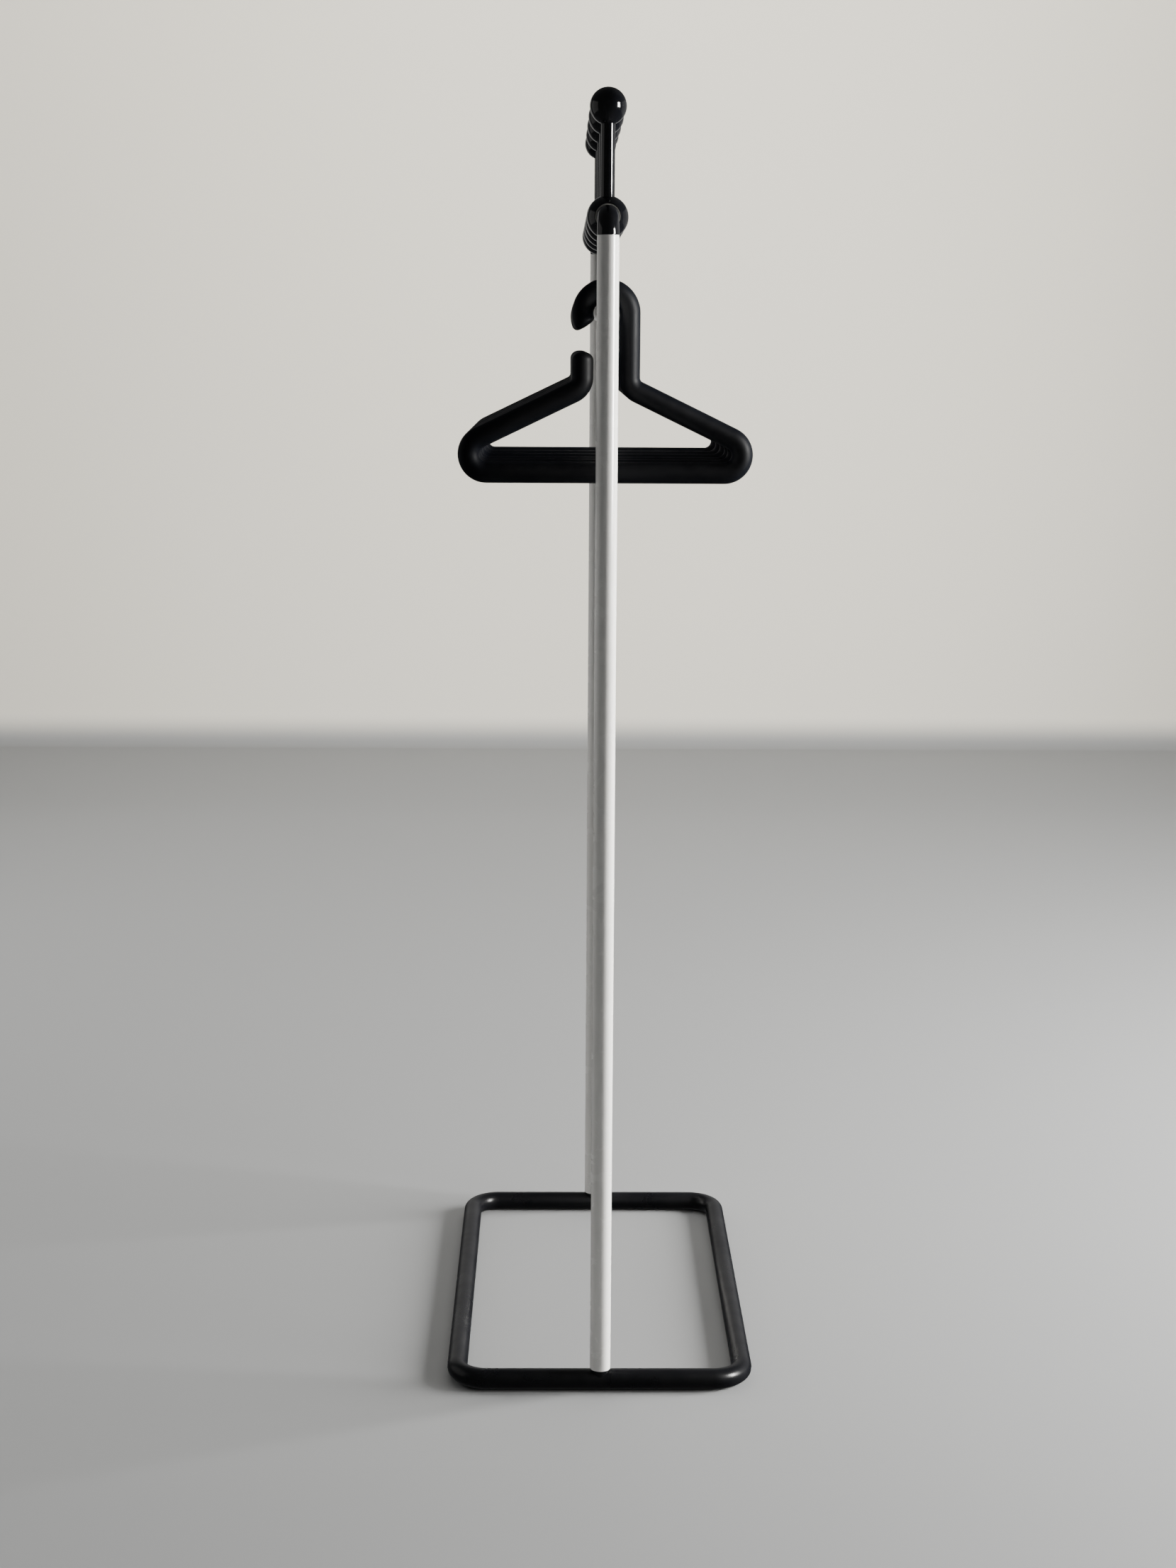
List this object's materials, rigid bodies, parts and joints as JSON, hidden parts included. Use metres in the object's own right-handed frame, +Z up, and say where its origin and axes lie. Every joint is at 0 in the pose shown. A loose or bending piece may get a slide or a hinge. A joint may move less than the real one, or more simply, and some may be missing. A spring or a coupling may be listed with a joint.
{
  "type": "valet stand",
  "caption": "Free-standing valet stand: bent tube base, two posts, a top rail with swivelling ball-headed pegs, and a bar carrying swinging tubular hangers.",
  "frame": {"origin": "centre of the base's footprint, on the floor", "axes": "+Z up, +Y along the top rail from the near post to the far post, +X across the stand"},
  "size_m": [0.4496, 0.7498, 1.8378],
  "materials": {
    "white_lacquer": "gloss",
    "base_black": "satin gloss",
    "gloss_black": "high gloss",
    "satin_black": "satin",
    "liner_nylon": "natural",
    "bolt_steel": "zinc plated"
  },
  "bodies": {
    "stand": {"base_loop": "base_black", "base_spigot_near": "base_black", "base_bolt_near": "bolt_steel", "post_near": "white_lacquer", "elbow_near": "gloss_black", "bar_end_near": "white_lacquer", "base_spigot_far": "base_black", "base_bolt_far": "bolt_steel", "post_far": "white_lacquer", "elbow_far": "gloss_black", "bar_end_far": "white_lacquer", "top_rail": "gloss_black", "hanger_bar": "white_lacquer"},
    "peg_1": {"peg_hub_1": "gloss_black", "peg_liner_1": "liner_nylon", "peg_rod_1": "gloss_black", "peg_ball_1": "gloss_black"},
    "peg_2": {"peg_hub_2": "gloss_black", "peg_liner_2": "liner_nylon", "peg_rod_2": "gloss_black", "peg_ball_2": "gloss_black"},
    "peg_3": {"peg_hub_3": "gloss_black", "peg_liner_3": "liner_nylon", "peg_rod_3": "gloss_black", "peg_ball_3": "gloss_black"},
    "peg_4": {"peg_hub_4": "gloss_black", "peg_liner_4": "liner_nylon", "peg_rod_4": "gloss_black", "peg_ball_4": "gloss_black"},
    "peg_5": {"peg_hub_5": "gloss_black", "peg_liner_5": "liner_nylon", "peg_rod_5": "gloss_black", "peg_ball_5": "gloss_black"},
    "hanging_1": {"hanger_1": "satin_black"},
    "hanging_2": {"hanger_2": "satin_black"},
    "hanging_3": {"hanger_3": "satin_black"},
    "hanging_4": {"hanger_4": "satin_black"},
    "hanging_5": {"hanger_5": "satin_black"},
    "hanging_6": {"hanger_6": "satin_black"}
  },
  "joints": [
    {"name": "peg_1_turn", "type": "hinge", "parent": "stand", "child": "peg_1", "pos_m": [0, -0.30555, 1.6678], "axis": [0, 1, 0], "range_deg": [-90, 90]},
    {"name": "peg_2_turn", "type": "hinge", "parent": "stand", "child": "peg_2", "pos_m": [0, -0.15278, 1.6678], "axis": [0, 1, 0], "range_deg": [-90, 90]},
    {"name": "peg_3_turn", "type": "hinge", "parent": "stand", "child": "peg_3", "pos_m": [0, 0, 1.6678], "axis": [0, 1, 0], "range_deg": [-90, 90]},
    {"name": "peg_4_turn", "type": "hinge", "parent": "stand", "child": "peg_4", "pos_m": [0, 0.15278, 1.6678], "axis": [0, 1, 0], "range_deg": [-90, 90]},
    {"name": "peg_5_turn", "type": "hinge", "parent": "stand", "child": "peg_5", "pos_m": [0, 0.30555, 1.6678], "axis": [0, 1, 0], "range_deg": [-90, 90]},
    {"name": "hanger_1_swing", "type": "hinge", "parent": "stand", "child": "hanging_1", "pos_m": [0, -0.26442, 1.5458], "axis": [0, 1, 0], "range_deg": [-60, 60]},
    {"name": "hanger_2_swing", "type": "hinge", "parent": "stand", "child": "hanging_2", "pos_m": [0, -0.18306, 1.5458], "axis": [0, 1, 0], "range_deg": [-60, 60]},
    {"name": "hanger_3_swing", "type": "hinge", "parent": "stand", "child": "hanging_3", "pos_m": [0, -0.11526, 1.5458], "axis": [0, 1, 0], "range_deg": [-60, 60]},
    {"name": "hanger_4_swing", "type": "hinge", "parent": "stand", "child": "hanging_4", "pos_m": [0, -0.01695, 1.5458], "axis": [0, 1, 0], "range_deg": [-60, 60]},
    {"name": "hanger_5_swing", "type": "hinge", "parent": "stand", "child": "hanging_5", "pos_m": [0, 0.08136, 1.5458], "axis": [0, 1, 0], "range_deg": [-60, 60]},
    {"name": "hanger_6_swing", "type": "hinge", "parent": "stand", "child": "hanging_6", "pos_m": [0, 0.19662, 1.5458], "axis": [0, 1, 0], "range_deg": [-60, 60]}
  ]
}
